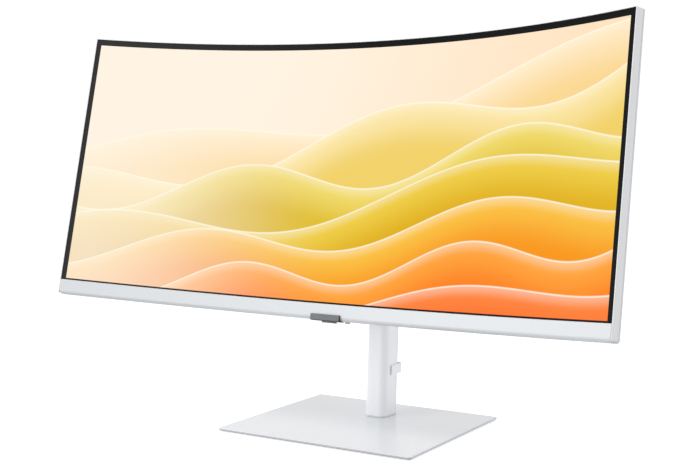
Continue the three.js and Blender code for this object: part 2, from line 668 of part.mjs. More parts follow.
// ---------- base and swivel ----------
function base() {
  const edge = 2 * BASE_EDGE;
  const plate = new THREE.ExtrudeGeometry(roundedRect(BASE_W - edge, BASE_D - edge, BASE_CORNER), {
    depth: BASE_TOP - BASE_BOTTOM - edge,
    bevelThickness: BASE_EDGE,
    bevelSize: BASE_EDGE,
    bevelSegments: 1,
    curveSegments: 5,
  });
  place(plate, 0, BASE_Y, BASE_BOTTOM + BASE_EDGE);
  piece(stand, 'base_plate', carve(plate, [rod('z', HUB_R + GAP, -PAST, PAST, [0, 0, 0])]), WHITE());
  const corners = [[-1, -1], [-1, 1], [1, -1], [1, 1]];
  corners.forEach(([x, y], i) => {
    const at = [x * (BASE_W / 2 - PAD_INSET), BASE_Y + y * (BASE_D / 2 - PAD_INSET), 0];
    const pad = rod('z', PAD_R, 0, BASE_BOTTOM - 0.1, at, 20);
    piece(stand, `rubber_foot_${i + 1}`, pad, finish(0x3c3e40, 0.9));
  });
}

function swivel() {
  const axis = [0, 0, 0];
  const body = rod('z', HUB_R, BASE_BOTTOM, HUB_TOP, axis);
  const spindle = rod('z', SPINDLE_R, HUB_TOP - 1, SPINDLE_TOP, axis);
  const pocket = rod('z', HUB_R - 2, 0, POCKET_TOP, axis);
  const thread = rod('z', THREAD.r, THREAD.low, THREAD.high, axis, 16);
  piece(stand, 'swivel_hub', carve(body, [pocket, thread], [spindle]), STEEL());

  const bore = SPINDLE_R + GAP;
  const plateLow = HUB_TOP + 2 * GAP;
  const plateHigh = plateLow + SWIVEL.plateT;
  const plateW = COLUMN_W - 2 * COLUMN_WALL - 1;
  const plateD = COLUMN_D - 2 * COLUMN_WALL - 3;
  const plate = slabOf(roundedRect(plateW, plateD, SWIVEL.plateCorner), plateLow, plateHigh);
  piece(stand, 'swivel_plate', carve(plate, [rod('z', bore, 0, 2 * PAST, axis)]), STEEL());
  const washerLow = plateHigh + GAP;
  const washerHigh = washerLow + SWIVEL.washerT;
  piece(stand, 'swivel_washer', tube('z', SWIVEL.nutR, bore, washerLow, washerHigh, axis), BRONZE());
  const nutLow = washerHigh + GAP;
  const nut = tube('z', SWIVEL.nutR, bore, nutLow, nutLow + SWIVEL.nutT, axis, 6);
  piece(stand, 'swivel_nut', nut, STEEL());
}

// The screw that holds the stand to the base, with a folding ring to turn it by.
function thumbScrew() {
  const axis = [0, 0, 0];
  const crown = rod('z', THUMB.r, THUMB.low, THUMB.high, axis, 20);
  const shank = rod('z', THUMB.shank, THUMB.low + 1.4, THUMB.tip, axis, 16);
  const lug = box(-2.2, 2.2, -2, 2, 1.5, 5);
  const eye = box(-5, 5, -1, 1, 2.1, 4.1);
  piece(stand, 'base_screw', carve(crown, [eye], [shank, lug]), STEEL());
  const ring = new THREE.Shape();
  ring.moveTo(-RING.r, -RING.heel);
  ring.lineTo(RING.r, -RING.heel);
  ring.lineTo(RING.r, 0);
  ring.absarc(0, 0, RING.r, 0, Math.PI);
  const hollow = new THREE.Path();
  hollow.moveTo(RING.inner, RING.heel);
  hollow.absarc(0, 0, RING.inner, 0.1, Math.PI - 0.1);
  ring.holes.push(hollow);
  piece(stand, 'screw_ring', slabOf(ring, RING.low, RING.high, 8), STEEL());
}

screenStack();
middleFrame();
lowerBezel();
rearCover();
badgeTab();
electronics();
patternBracket();
quickMount();
releaseButton();
jogStick();
arm();
neckCover();
liftUnit();
column();
cableClip();
base();
swivel();
thumbScrew();

// The origin is the centre of the object's box, at the desk.
monitor.updateMatrixWorld(true);
const extent = new THREE.Box3().setFromObject(monitor, true);
monitor.position.set(-(extent.min.x + extent.max.x) / 2, -(extent.min.y + extent.max.y) / 2, 0);

export default monitor;
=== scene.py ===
import json
import math

import bmesh
import bpy
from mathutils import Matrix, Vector


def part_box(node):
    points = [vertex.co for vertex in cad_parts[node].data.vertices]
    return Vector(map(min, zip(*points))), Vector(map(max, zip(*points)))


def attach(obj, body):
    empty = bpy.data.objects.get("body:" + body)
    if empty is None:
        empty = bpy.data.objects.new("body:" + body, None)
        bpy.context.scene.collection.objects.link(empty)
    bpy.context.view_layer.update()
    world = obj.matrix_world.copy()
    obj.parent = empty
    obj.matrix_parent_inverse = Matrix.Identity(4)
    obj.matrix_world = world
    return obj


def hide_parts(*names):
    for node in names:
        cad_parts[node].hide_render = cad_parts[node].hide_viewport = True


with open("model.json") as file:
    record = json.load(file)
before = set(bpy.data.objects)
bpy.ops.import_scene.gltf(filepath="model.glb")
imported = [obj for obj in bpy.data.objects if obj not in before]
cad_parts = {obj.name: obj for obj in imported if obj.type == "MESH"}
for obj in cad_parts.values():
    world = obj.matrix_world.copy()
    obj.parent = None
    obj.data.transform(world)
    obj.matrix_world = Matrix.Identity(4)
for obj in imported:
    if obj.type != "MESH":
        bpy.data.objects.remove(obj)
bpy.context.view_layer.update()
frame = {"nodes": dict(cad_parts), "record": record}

MM = 0.001

# ---------- driving dimensions, as in the CAD part ----------
ARC_RADIUS = 1087 * MM
PICTURE_W = 797.2 * MM
PICTURE_H = 333.7 * MM
BORDER_SIDE = 6.8 * MM
BORDER_TOP = 8.2 * MM
BORDER_BOTTOM = 2 * MM
GAP = 0.3 * MM
RIM = 1 * MM
HALF_GLASS = PICTURE_W / 2 + BORDER_SIDE
HALF_HEAD = HALF_GLASS + RIM + GAP
GLASS_TOP = PICTURE_H + BORDER_TOP
HEAD_TOP = GLASS_TOP + RIM
HEAD_BOTTOM = -22.5 * MM
RIM_FRONT = -0.9 * MM
FRAME_BACK = 10.2 * MM
EDGE_BACK = 12.7 * MM
BULGE = 29.2 * MM
SHELL = 2.2 * MM
PIVOT_V = 167 * MM
PIVOT_D = 62 * MM
MOUNT_FLOOR = 38 * MM
PORT_FLOOR = 32 * MM
PORT_V = 77 * MM
LEAN = math.tan(math.radians(3.75))
COLUMN_W = 31.7 * MM
COLUMN_D = 40.4 * MM
COLUMN_R = 9.5 * MM
COLUMN_WALL = 2.5 * MM
COLUMN_SEAM = 11 * MM
SLOT_HALF = 7 * MM
SLOT_LOW = 255 * MM
CHANNEL_HALF = 8 * MM
CHANNEL_DEEP = 6 * MM
CHANNEL_LOW = 24 * MM
CHANNEL_HIGH = 300 * MM
BASE_CORNER = 4.5 * MM
LOW_CORNER = 4.5 * MM
TOP_CORNER = 1.6 * MM
CHIN_FRONT = -1.2 * MM
CHIN_BACK = 6.5 * MM
CHIN_BEVEL_TALL = 5 * MM
CHIN_BEVEL_DEEP = 7 * MM
GLASS_THICK = 1.6 * MM
SEAT_DEEP = 6.8 * MM
WINDOW_HALF = 397 * MM
WINDOW_LOW = -8 * MM
WINDOW_HIGH = 333 * MM
BULGE_HALF = 300 * MM
BULGE_LOW = -20 * MM
BULGE_HIGH = 325 * MM
BULGE_SIDE_SLOPE = 170 * MM
BULGE_LOW_SLOPE = 30 * MM
BULGE_TOP_SLOPE = 92 * MM
HOLLOW_HALF = 403 * MM
HOLLOW_LOW = -19 * MM
HOLLOW_HIGH = 339 * MM
# The mount's recess and the socket panel: half width, lowest and highest height, depth of the floor
ROOMS = ((53 * MM, 114 * MM, 220 * MM, MOUNT_FLOOR),
         (128 * MM, PORT_V - 15 * MM, PORT_V + 15 * MM, PORT_FLOOR))
POD_HALF = 11 * MM
POD_WALL = 2.5 * MM
WELL_R = 6.8 * MM
VENT_ROWS = 2
VENTS_A_SIDE = 20
VENT_STEP = 6.4 * MM
VENT_HALF = 1.1 * MM
VENT_LOW = 262 * MM
VENT_TALL = 14 * MM
VENT_ROW_STEP = 20 * MM
KEY_OVER_X = 2.5 * MM
KEY_OVER_V = 1.6 * MM
HUB_HOLE_R = 11.3 * MM
ARM_HALF = 13.5 * MM
# How far a cutting shape reaches past what it cuts, and a depth behind the whole head
PAST = 10 * MM
BEHIND = 80 * MM

JOINTS = {joint["name"]: joint for joint in frame["record"]["behaviour"]["joints"]}


# ---------- the head's frame: arc length u, height v, depth d behind the glass ----------
RIGHT = Vector((1, 0, 0))
BACK = -Vector(JOINTS["release_press"]["axis"])
UP = Vector(JOINTS["jog_press"]["axis"])
PIVOT = Vector(JOINTS["tilt"]["pos_m"])
HEAD = PIVOT - UP * PIVOT_V - BACK * PIVOT_D
COLUMN_Y = JOINTS["stand_swivel"]["pos_m"][1]


def in_head(x, v, d):
    return HEAD + RIGHT * x + UP * v + BACK * d


def on_arc(u, v, d):
    angle = u / ARC_RADIUS
    reach = ARC_RADIUS + d
    return in_head(reach * math.sin(angle), v, reach * math.cos(angle) - ARC_RADIUS)


def leaning(x, y, z):
    return Vector((x, COLUMN_Y + y + z * LEAN, z))


def upright(x, y, z):
    return Vector((x, COLUMN_Y + y, z))


# ---------- mesh helpers ----------
def new_object(name, verts, faces):
    mesh = bpy.data.meshes.new(name)
    mesh.from_pydata([tuple(v) for v in verts], [], faces)
    mesh.validate()
    mesh.update()
    obj = bpy.data.objects.new(name, mesh)
    bpy.context.scene.collection.objects.link(obj)
    return obj


def apply_modifiers(obj):
    graph = bpy.context.evaluated_depsgraph_get()
    mesh = bpy.data.meshes.new_from_object(obj.evaluated_get(graph))
    old = obj.data
    obj.modifiers.clear()
    obj.data = mesh
    mesh.name = obj.name
    bpy.data.meshes.remove(old)
    return obj


def boolean(obj, tools, operation="DIFFERENCE"):
    for tool in tools:
        modifier = obj.modifiers.new("boolean", "BOOLEAN")
        modifier.operation = operation
        modifier.object = tool
        modifier.solver = "EXACT"
        apply_modifiers(obj)
        bpy.data.objects.remove(tool)
    return obj


def soften(obj, width, segments=3, angle=30):
    """Rounds the sharp edges and keeps them as plain mesh, then smooths the shading with a weighted-normal
    modifier.
    """
    if width:
        bevel = obj.modifiers.new("bevel", "BEVEL")
        bevel.width = width
        bevel.segments = segments
        bevel.limit_method = "ANGLE"
        bevel.angle_limit = math.radians(angle)
        bevel.use_clamp_overlap = True
        apply_modifiers(obj)
    for polygon in obj.data.polygons:
        polygon.use_smooth = True
    obj.data.set_sharp_from_angle(angle=math.radians(angle))
    weighted = obj.modifiers.new("normals", "WEIGHTED_NORMAL")
    weighted.keep_sharp = True
    return obj


def dress(obj, material, body, replaces=()):
    obj.data.materials.clear()
    obj.data.materials.append(material)
    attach(obj, body)
    if replaces:
        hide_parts(*replaces)
    return obj


def loft(name, rings):
    """Joins equal rings of points into a skin with closed ends."""
    count = len(rings[0])
    verts = [point for ring in rings for point in ring]
    faces = []
    for r in range(len(rings) - 1):
        for k in range(count):
            a = r * count + k
            b = r * count + (k + 1) % count
            faces.append((a, b, b + count, a + count))
    faces.append(tuple(reversed(range(count))))
    last = (len(rings) - 1) * count
    faces.append(tuple(range(last, last + count)))
    obj = new_object(name, verts, faces)
    fix_normals(obj)
    return obj


def fix_normals(obj):
    work = bmesh.new()
    work.from_mesh(obj.data)
    bmesh.ops.recalc_face_normals(work, faces=work.faces)
    work.to_mesh(obj.data)
    work.free()


def rounded_rect(width, depth, radius, corner_steps=8):
    points = []
    for cx, cy, start in ((1, -1, -90), (1, 1, 0), (-1, 1, 90), (-1, -1, 180)):
        for i in range(corner_steps + 1):
            angle = math.radians(start + 90 * i / corner_steps)
            points.append((cx * (width / 2 - radius) + radius * math.cos(angle),
                           cy * (depth / 2 - radius) + radius * math.sin(angle)))
    return points


def circle(radius, steps=48):
    angles = [2 * math.pi * i / steps for i in range(steps)]
    return [(radius * math.cos(angle), radius * math.sin(angle)) for angle in angles]


def block(name, place, x, y, z):
    """A box between named limits, set by the given placing function."""
    corners = [(x[0], y[0]), (x[1], y[0]), (x[1], y[1]), (x[0], y[1])]
    return loft(name, [[place(cx, cy, cz) for cx, cy in corners] for cz in z])


def stations(half, steps=96, ends=8):
    """Arc lengths from side to side, closer together where the head's corners are rounded."""
    flat = half - LOW_CORNER
    middle = [-flat + 2 * flat * i / steps for i in range(steps + 1)]
    turns = [LOW_CORNER * math.sin(math.pi / 2 * i / ends) for i in range(1, ends + 1)]
    return [-flat - t for t in reversed(turns)] + middle + [flat + t for t in turns]


def lift(u, radius):
    """How far the head's rounded corner stands in from its straight edge."""
    past = min(radius, max(0, abs(u) - (HALF_HEAD - radius)))
    return radius - math.sqrt(radius * radius - past * past)


def arc_sweep(name, outline, half, steps=96):
    """Sweeps a closed outline of (d, v) points along the head's arc, rounding the head's corners."""
    rings = []
    for u in stations(half, steps):
        low, high = lift(u, LOW_CORNER), lift(u, TOP_CORNER)
        ring = []
        for d, v in outline:
            if v < HEAD_BOTTOM + LOW_CORNER + MM:
                v += low
            elif v > HEAD_TOP - TOP_CORNER:
                v -= high
            ring.append(on_arc(u, v, d))
        rings.append(ring)
    return loft(name, rings)


def arc_slab(name, half, v0, v1, d0, d1, steps=96):
    return arc_sweep(name, [(d0, v0), (d1, v0), (d1, v1), (d0, v1)], half, steps)


# ---------- shader helpers ----------
class Num:
    """A value that varies over a surface, built from math nodes."""

    def __init__(self, tree, socket):
        self.tree = tree
        self.socket = socket

    def op(self, operation, *others, clamp=False):
        node = self.tree.nodes.new("ShaderNodeMath")
        node.operation = operation
        node.use_clamp = clamp
        for i, value in enumerate((self,) + others):
            plug(self.tree, node.inputs[i], value)
        return Num(self.tree, node.outputs[0])

    def __add__(self, other):
        return self.op("ADD", other)

    def __sub__(self, other):
        return self.op("SUBTRACT", other)

    def __mul__(self, other):
        return self.op("MULTIPLY", other)

    def clamp(self):
        return self.op("ADD", 0.0, clamp=True)

    def ramp(self, low, high):
        """0 at low, 1 at high, smooth between, and low may be above high."""
        node = self.tree.nodes.new("ShaderNodeMapRange")
        node.interpolation_type = "SMOOTHSTEP"
        node.clamp = True
        plug(self.tree, node.inputs["Value"], self)
        if low < high:
            limits = (low, high, 0.0, 1.0)
        else:
            limits = (high, low, 1.0, 0.0)
        for name, value in zip(("From Min", "From Max", "To Min", "To Max"), limits):
            node.inputs[name].default_value = value
        return Num(self.tree, node.outputs["Result"])


def plug(tree, socket, value):
    if isinstance(value, Num):
        tree.links.new(value.socket, socket)
    elif hasattr(value, "is_output"):
        tree.links.new(value, socket)
    elif isinstance(value, tuple) and len(value) == 3 and len(socket.default_value) == 4:
        socket.default_value = (*value, 1.0)
    else:
        socket.default_value = value


def mix(tree, factor, first, second):
    node = tree.nodes.new("ShaderNodeMix")
    node.data_type = "RGBA"
    plug(tree, node.inputs[0], factor)
    for socket, value in ((node.inputs[6], first), (node.inputs[7], second)):
        plug(tree, socket, value)
    return node.outputs[2]


def srgb(red, green, blue):
    def linear(value):
        value /= 255
        return value / 12.92 if value <= 0.04045 else ((value + 0.055) / 1.055) ** 2.4
    return tuple(linear(value) for value in (red, green, blue))


def new_material(name):
    material = bpy.data.materials.new(name)
    material.use_nodes = True
    tree = material.node_tree
    return material, tree, tree.nodes["Principled BSDF"]


def object_coords(tree):
    return tree.nodes.new("ShaderNodeTexCoord").outputs["Object"]


def noise(tree, scale, detail=3.0, stretch=(1, 1, 1)):
    mapping = tree.nodes.new("ShaderNodeMapping")
    mapping.inputs["Scale"].default_value = stretch
    tree.links.new(object_coords(tree), mapping.inputs["Vector"])
    node = tree.nodes.new("ShaderNodeTexNoise")
    node.inputs["Scale"].default_value = scale
    node.inputs["Detail"].default_value = detail
    tree.links.new(mapping.outputs["Vector"], node.inputs["Vector"])
    return Num(tree, node.outputs["Fac"])


def bump(tree, shader, height, strength, distance):
    node = tree.nodes.new("ShaderNodeBump")
    node.inputs["Strength"].default_value = strength
    node.inputs["Distance"].default_value = distance
    plug(tree, node.inputs["Height"], height)
    tree.links.new(node.outputs["Normal"], shader.inputs["Normal"])


# How much the broad mottle and the fine grain of a surface each change its roughness
BROAD_MATT = 0.06
FINE_MATT = 0.12
BROAD_SCALE = 14
GRAIN_HEIGHT = 0.0001


def grained(name, colour, roughness, grain=900, depth=0.02, metallic=0.0, stretch=(1, 1, 1),
            variation=0.03, edge=None):
    """A surface with slight tone and gloss variation and a fine grain.

    A painted shade colour, given as edge, is mixed in on faces that don't look up, standing for the shade
    those faces are in.
    """
    material, tree, shader = new_material(name)
    broad = noise(tree, BROAD_SCALE, 4)
    fine = noise(tree, grain, 2, stretch)
    darker = tuple(c * (1 - variation) for c in colour)
    lighter = tuple(min(1, c * (1 + variation / 2)) for c in colour)
    tone = broad * 0.6 + fine * 0.4
    painted = mix(tree, tone.clamp(), darker, lighter)
    # Painted shade: faces that turn away from the sky take on the edge colour
    if edge:
        split = tree.nodes.new("ShaderNodeSeparateXYZ")
        tree.links.new(tree.nodes.new("ShaderNodeNewGeometry").outputs["Normal"], split.inputs[0])
        painted = mix(tree, Num(tree, split.outputs["Z"]).ramp(0.8, 0.2), painted, edge)
    plug(tree, shader.inputs["Base Color"], painted)
    matt = fine * FINE_MATT + broad * BROAD_MATT + (roughness - (FINE_MATT + BROAD_MATT) / 2)
    plug(tree, shader.inputs["Roughness"], matt.clamp())
    shader.inputs["Metallic"].default_value = metallic
    bump(tree, shader, fine, depth * 10, GRAIN_HEIGHT)
    return material


MATERIALS = {
    # The casing's white is set darker than the stand's white to paint in the shade on the chin's front
    "white_casing": grained("casing_white_painted_shade", srgb(223, 226, 230), 0.42, depth=0.012),
    # The rim's white is set lighter than the casing's to paint in the light on the side strip
    "white_rim": grained("rim_white_painted_light", srgb(236, 238, 240), 0.4, depth=0.012),
    "white_stand": grained("stand_white", srgb(242, 243, 246), 0.36, depth=0.01),
    # The white steel's edge colour is painted shade on the plate's sides and undercut
    "white_steel": grained("powder_coat_white", srgb(242, 244, 247), 0.2, grain=1500, depth=0.004,
                            edge=srgb(196, 198, 203)),
    "release_plastic": grained("button_white", srgb(214, 216, 220), 0.45),
    "diffuser": grained("diffuser_film", srgb(240, 240, 235), 0.6),
    "acrylic": grained("acrylic_guide", srgb(226, 236, 236), 0.1),
    "led_strip": grained("led_board", srgb(236, 230, 205), 0.5),
    "sheet_steel": grained("zinc_sheet", srgb(176, 179, 182), 0.38, 60, 0.03, 0.9, (1, 1, 12)),
    "machined_steel": grained("turned_steel", srgb(168, 171, 174), 0.3, 300, 0.03, 1.0),
    "spring_steel": grained("blued_strip", srgb(120, 126, 140), 0.3, 300, 0.03, 1.0, (1, 6, 1)),
    "bronze": grained("bronze_washer", srgb(182, 150, 92), 0.34, 300, 0.03, 1.0),
    "cast_arm": grained("cast_aluminium", srgb(178, 180, 184), 0.46, 400, 0.05, 0.9),
    "carriage_plastic": grained("filled_nylon", srgb(52, 54, 58), 0.55),
    "rubber_pad": grained("matt_rubber", srgb(50, 51, 53), 0.85, 1200, 0.05),
    "badge_satin": grained("badge_satin", srgb(80, 82, 84), 0.4, 1800, 0.03, 0.7, (0.1, 1, 1)),
    "black_plastic": grained("black_plastic", srgb(26, 26, 28), 0.45),
    "black_lens": grained("black_lens", srgb(14, 14, 15), 0.12, depth=0.0),
    "jog_grey": grained("jog_grey", srgb(176, 178, 181), 0.5),
    "circuit_green": grained("solder_mask", srgb(28, 92, 58), 0.4, 160, 0.05, variation=0.35),
    "circuit_tan": grained("paper_laminate", srgb(150, 116, 66), 0.6, 120, 0.04, variation=0.25),
    "port_black": grained("socket_black", srgb(22, 22, 24), 0.5),
    "port_metal": grained("socket_shell", srgb(190, 191, 194), 0.3, 500, 0.02, 0.95),
}


# ---------- the picture on the screen ----------
# Rolling waves of warm colour. Coordinates across it are in picture heights, from its lower left corner
PALE_SKY = srgb(255, 243, 226)
WARM_SKY = srgb(255, 226, 190)
CREST_LIGHT = srgb(255, 250, 232)

# Waves from back to front: height at the left, rise, swell, length, start, far and near colour, strength
WAVES = (
    (0.52, 0.17, 0.070, 1.9, 0.4, srgb(255, 234, 196), srgb(250, 214, 140), 0.9),
    (0.40, 0.20, 0.085, 1.5, 2.1, srgb(252, 232, 170), srgb(240, 208, 96), 0.9),
    (0.36, 0.12, 0.075, 1.2, 4.0, srgb(242, 220, 110), srgb(222, 188, 24), 1.0),
    (0.20, 0.15, 0.080, 1.7, 1.2, srgb(240, 208, 70), srgb(224, 174, 6), 1.0),
    (0.12, 0.12, 0.065, 1.3, 5.2, srgb(250, 196, 66), srgb(248, 150, 12), 1.0),
    (-0.02, 0.12, 0.060, 1.0, 3.1, srgb(254, 168, 60), srgb(254, 124, 10), 1.0),
    (-0.16, 0.12, 0.045, 1.4, 0.2, srgb(255, 136, 60), srgb(252, 96, 20), 1.0),
)
WAVE_EDGE = 0.003
FILL_DEPTH = 0.19
PALE_REACH = 1.2
PALER_LEFT = 0.7
GLOW_DEPTH = 0.05
GLOW = 0.3
CREST = 0.005
CREST_STRENGTH = 0.7

# The black border's colour, with a painted sheen that makes it lighter at the left as in the photograph
BORDER_SHEEN_LEFT = srgb(52, 51, 52)
BORDER_RIGHT = srgb(18, 18, 19)
BORDER_SHEEN_FADE = 1.5
UNLIT = srgb(4, 4, 4)


def wave(tree, colour, x, y, shape):
    """A rolling band: pale along its crest, deeper away from it and towards the right."""
    height, slope, swell, length, start, far, near, strength = shape
    crest = (x * (2 * math.pi / length) + start).op("SINE") * swell + x * slope + height
    below = crest - y
    inside = below.ramp(0.0, WAVE_EDGE)
    depth = below.ramp(0.0, FILL_DEPTH)
    fill = mix(tree, depth, far, near)
    fill = mix(tree, x.ramp(PALE_REACH, 0.0) * PALER_LEFT, fill, PALE_SKY)
    colour = mix(tree, inside * strength, colour, fill)
    glow = inside * below.ramp(GLOW_DEPTH, 0.0)
    colour = mix(tree, glow * GLOW, colour, CREST_LIGHT)
    line = (below - CREST / 2).op("ABSOLUTE").ramp(CREST, CREST * 0.2)
    return mix(tree, line * CREST_STRENGTH, colour, CREST_LIGHT)


def picture_colour(tree, x, y):
    colour = mix(tree, (x * 0.5 - y * 0.2).ramp(0.1, 1.1), PALE_SKY, WARM_SKY)
    for shape in WAVES:
        colour = wave(tree, colour, x, y, shape)
    return colour


def screen_material():
    """A lit picture of rolling waves, with a black border round it."""
    material, tree, shader = new_material("screen_picture")
    layer = tree.nodes.new("ShaderNodeUVMap")
    layer.uv_map = "picture"
    split = tree.nodes.new("ShaderNodeSeparateXYZ")
    tree.links.new(layer.outputs["UV"], split.inputs[0])
    flat_x = Num(tree, split.outputs["X"])
    flat_y = Num(tree, split.outputs["Y"])
    picture = picture_colour(tree, flat_x, flat_y)
    aspect = PICTURE_W / PICTURE_H
    lit = flat_x.op("GREATER_THAN", 0.0) * flat_x.op("LESS_THAN", aspect)
    lit = lit * flat_y.op("GREATER_THAN", 0.0) * flat_y.op("LESS_THAN", 1.0)
    # Painted sheen: the border is lighter towards its left end
    border = mix(tree, flat_x.ramp(0.0, BORDER_SHEEN_FADE), BORDER_SHEEN_LEFT, BORDER_RIGHT)
    plug(tree, shader.inputs["Base Color"], mix(tree, lit, border, UNLIT))
    plug(tree, shader.inputs["Emission Color"], mix(tree, lit, (0, 0, 0), picture))
    shader.inputs["Emission Strength"].default_value = 1.0
    shader.inputs["Specular IOR Level"].default_value = 0.05
    haze = noise(tree, 2500, 1)
    plug(tree, shader.inputs["Roughness"], haze * 0.1 + 0.4)
    bump(tree, shader, haze, 0.05, 0.00005)
    return material


# ---------- head ----------
def screen():
    obj = arc_slab("screen_glass", HALF_GLASS, -BORDER_BOTTOM, GLASS_TOP, 0, GLASS_THICK, 128)
    layer = obj.data.uv_layers.new(name="picture")
    for loop in obj.data.loops:
        point = obj.data.vertices[loop.vertex_index].co - HEAD
        x, y = point.dot(RIGHT), point.dot(BACK)
        u = ARC_RADIUS * math.atan2(x, ARC_RADIUS + y)
        layer.data[loop.index].uv = ((u + PICTURE_W / 2) / PICTURE_H, point.dot(UP) / PICTURE_H)
    soften(obj, 0)
    dress(obj, screen_material(), "display", ["lcd_cell"])


def middle_frame():
    obj = arc_slab("frame_ring", HALF_HEAD, HEAD_BOTTOM, HEAD_TOP, RIM_FRONT, FRAME_BACK)
    seat = arc_slab("seat", HALF_GLASS + GAP, HEAD_BOTTOM - PAST, GLASS_TOP + GAP, -PAST, SEAT_DEEP)
    window = arc_slab("window", WINDOW_HALF, WINDOW_LOW, WINDOW_HIGH, 4 * MM, 20 * MM)
    boolean(obj, [seat, window])
    soften(obj, 0.35 * MM, 2)
    # The rim's lighter white is painted light on the side strip
    dress(obj, MATERIALS["white_rim"], "display", ["middle_frame"])


def chin_bevel(clear=0.0, steps=12):
    """The rounded lower edge of the chin, as (d, v) points from its face to its underside."""
    points = []
    for i in range(steps + 1):
        turn = math.pi / 2 * i / steps
        points.append((CHIN_FRONT - clear + CHIN_BEVEL_DEEP * (1 - math.cos(turn)),
                       HEAD_BOTTOM - clear + CHIN_BEVEL_TALL * (1 - math.sin(turn))))
    return points


def chin():
    top = -BORDER_BOTTOM - GAP
    fillet = 0.6 * MM
    outline = [(CHIN_BACK, HEAD_BOTTOM), (CHIN_BACK, top), (CHIN_FRONT + fillet, top)]
    outline += [(CHIN_FRONT + 0.3 * fillet, top - 0.3 * fillet), (CHIN_FRONT, top - fillet)]
    obj = arc_sweep("chin", outline + chin_bevel(), HALF_GLASS, 128)
    soften(obj, 0, angle=50)
    # The casing's darker white paints in the shade on the chin
    dress(obj, MATERIALS["white_casing"], "display", ["lower_bezel"])


def rise(value):
    """A smooth step from 0 to 1."""
    value = min(1, max(0, value))
    return value * value * (3 - 2 * value)


def back_depth(u, v):
    """Depth of the head's back, which is thin at the edges and bulges over the middle."""
    across = rise((BULGE_HALF - abs(u)) / BULGE_SIDE_SLOPE)
    from_bottom = rise((v - BULGE_LOW) / BULGE_LOW_SLOPE)
    from_top = rise((BULGE_HIGH - v) / BULGE_TOP_SLOPE)
    return EDGE_BACK + BULGE * across * from_bottom * from_top


def domed_slab(name, half, v0, v1, front, back, nu, nv):
    """A slab along the arc, with a flat front and a back whose depth is back(u, v)."""
    columns = stations(half, nu)
    nu = len(columns) - 1
    rows = []
    for j in range(nv + 1):
        v = v0 + (v1 - v0) * j / nv
        low, high = (1 - j / nv), j / nv
        rows.append([(u, v + low * lift(u, LOW_CORNER) - high * lift(u, TOP_CORNER)) for u in columns])
    verts = [on_arc(u, v, front) for row in rows for u, v in row]
    verts += [on_arc(u, v, back(u, v)) for row in rows for u, v in row]
    width = nu + 1
    sheet_size = width * (nv + 1)
    faces = []
    for j in range(nv):
        for i in range(nu):
            a = j * width + i
            faces.append((a, a + 1, a + width + 1, a + width))
            b = a + sheet_size
            faces.append((b, b + width, b + width + 1, b + 1))
    rim = list(range(width))
    rim += [j * width + nu for j in range(1, nv + 1)]
    rim += [nv * width + i for i in range(nu - 1, -1, -1)]
    rim += [j * width for j in range(nv - 1, 0, -1)]
    for a, b in zip(rim, rim[1:] + rim[:1]):
        faces.append((a, a + sheet_size, b + sheet_size, b))
    obj = new_object(name, verts, faces)
    fix_normals(obj)
    return obj


def head_box(name, x0, x1, v0, v1, d0, d1):
    return block(name, lambda x, d, v: in_head(x, v, d), (x0, x1), (d0, d1), (v0, v1))


def join(name, parts):
    verts, faces = [], []
    for part in parts:
        start = len(verts)
        verts += [v.co.copy() for v in part.data.vertices]
        faces += [tuple(start + i for i in p.vertices) for p in part.data.polygons]
        bpy.data.objects.remove(part)
    return new_object(name, verts, faces)


SOCKETS = ("power_inlet", "hdmi_port", "displayport_port", "usb_c_port",
           "usb_a_port_1", "usb_a_port_2", "lan_port", "audio_jack")


def head_extent(node):
    """A node's limits in the head's frame: lowest and highest x, v and d."""
    obj = frame["nodes"][node]
    spots = [(obj.matrix_world @ v.co) - HEAD for v in obj.data.vertices]
    reaches = [[p.dot(axis) for p in spots] for axis in (RIGHT, UP, BACK)]
    return [(min(reach), max(reach)) for reach in reaches]


